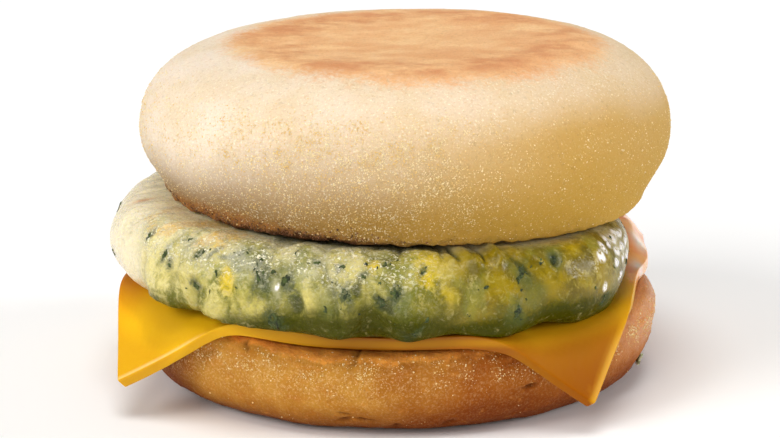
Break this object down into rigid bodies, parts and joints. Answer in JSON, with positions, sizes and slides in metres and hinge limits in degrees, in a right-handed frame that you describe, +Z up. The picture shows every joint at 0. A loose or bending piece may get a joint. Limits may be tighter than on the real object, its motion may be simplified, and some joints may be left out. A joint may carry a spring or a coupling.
{
  "type": "breakfast sandwich",
  "caption": "Toasted English muffin cut in two, filled with a thick egg and spinach patty and a drooping square slice of orange cheese.",
  "frame": {"origin": "middle of the flat underside of the bottom muffin half, where the sandwich rests", "axes": "+Z up through the stack; X along the width seen from the front; -Y towards the front, where the patty and the two drooping front corners of the cheese show"},
  "size_m": [0.0984, 0.099, 0.0603],
  "materials": {
    "bottom_muffin_half": "golden brown toasted muffin crust, dull",
    "cheese_slice": "smooth yellow-orange cheese, slightly glossy",
    "egg_patty": "moist pale yellow-green egg with dark green spinach",
    "top_muffin_half": "pale cream muffin crust, griddled orange-brown on top"
  },
  "bodies": {
    "root": {"bottom_muffin_half": "bottom_muffin_half", "cheese_slice": "cheese_slice", "egg_patty": "egg_patty", "top_muffin_half": "top_muffin_half"}
  },
  "joints": []
}
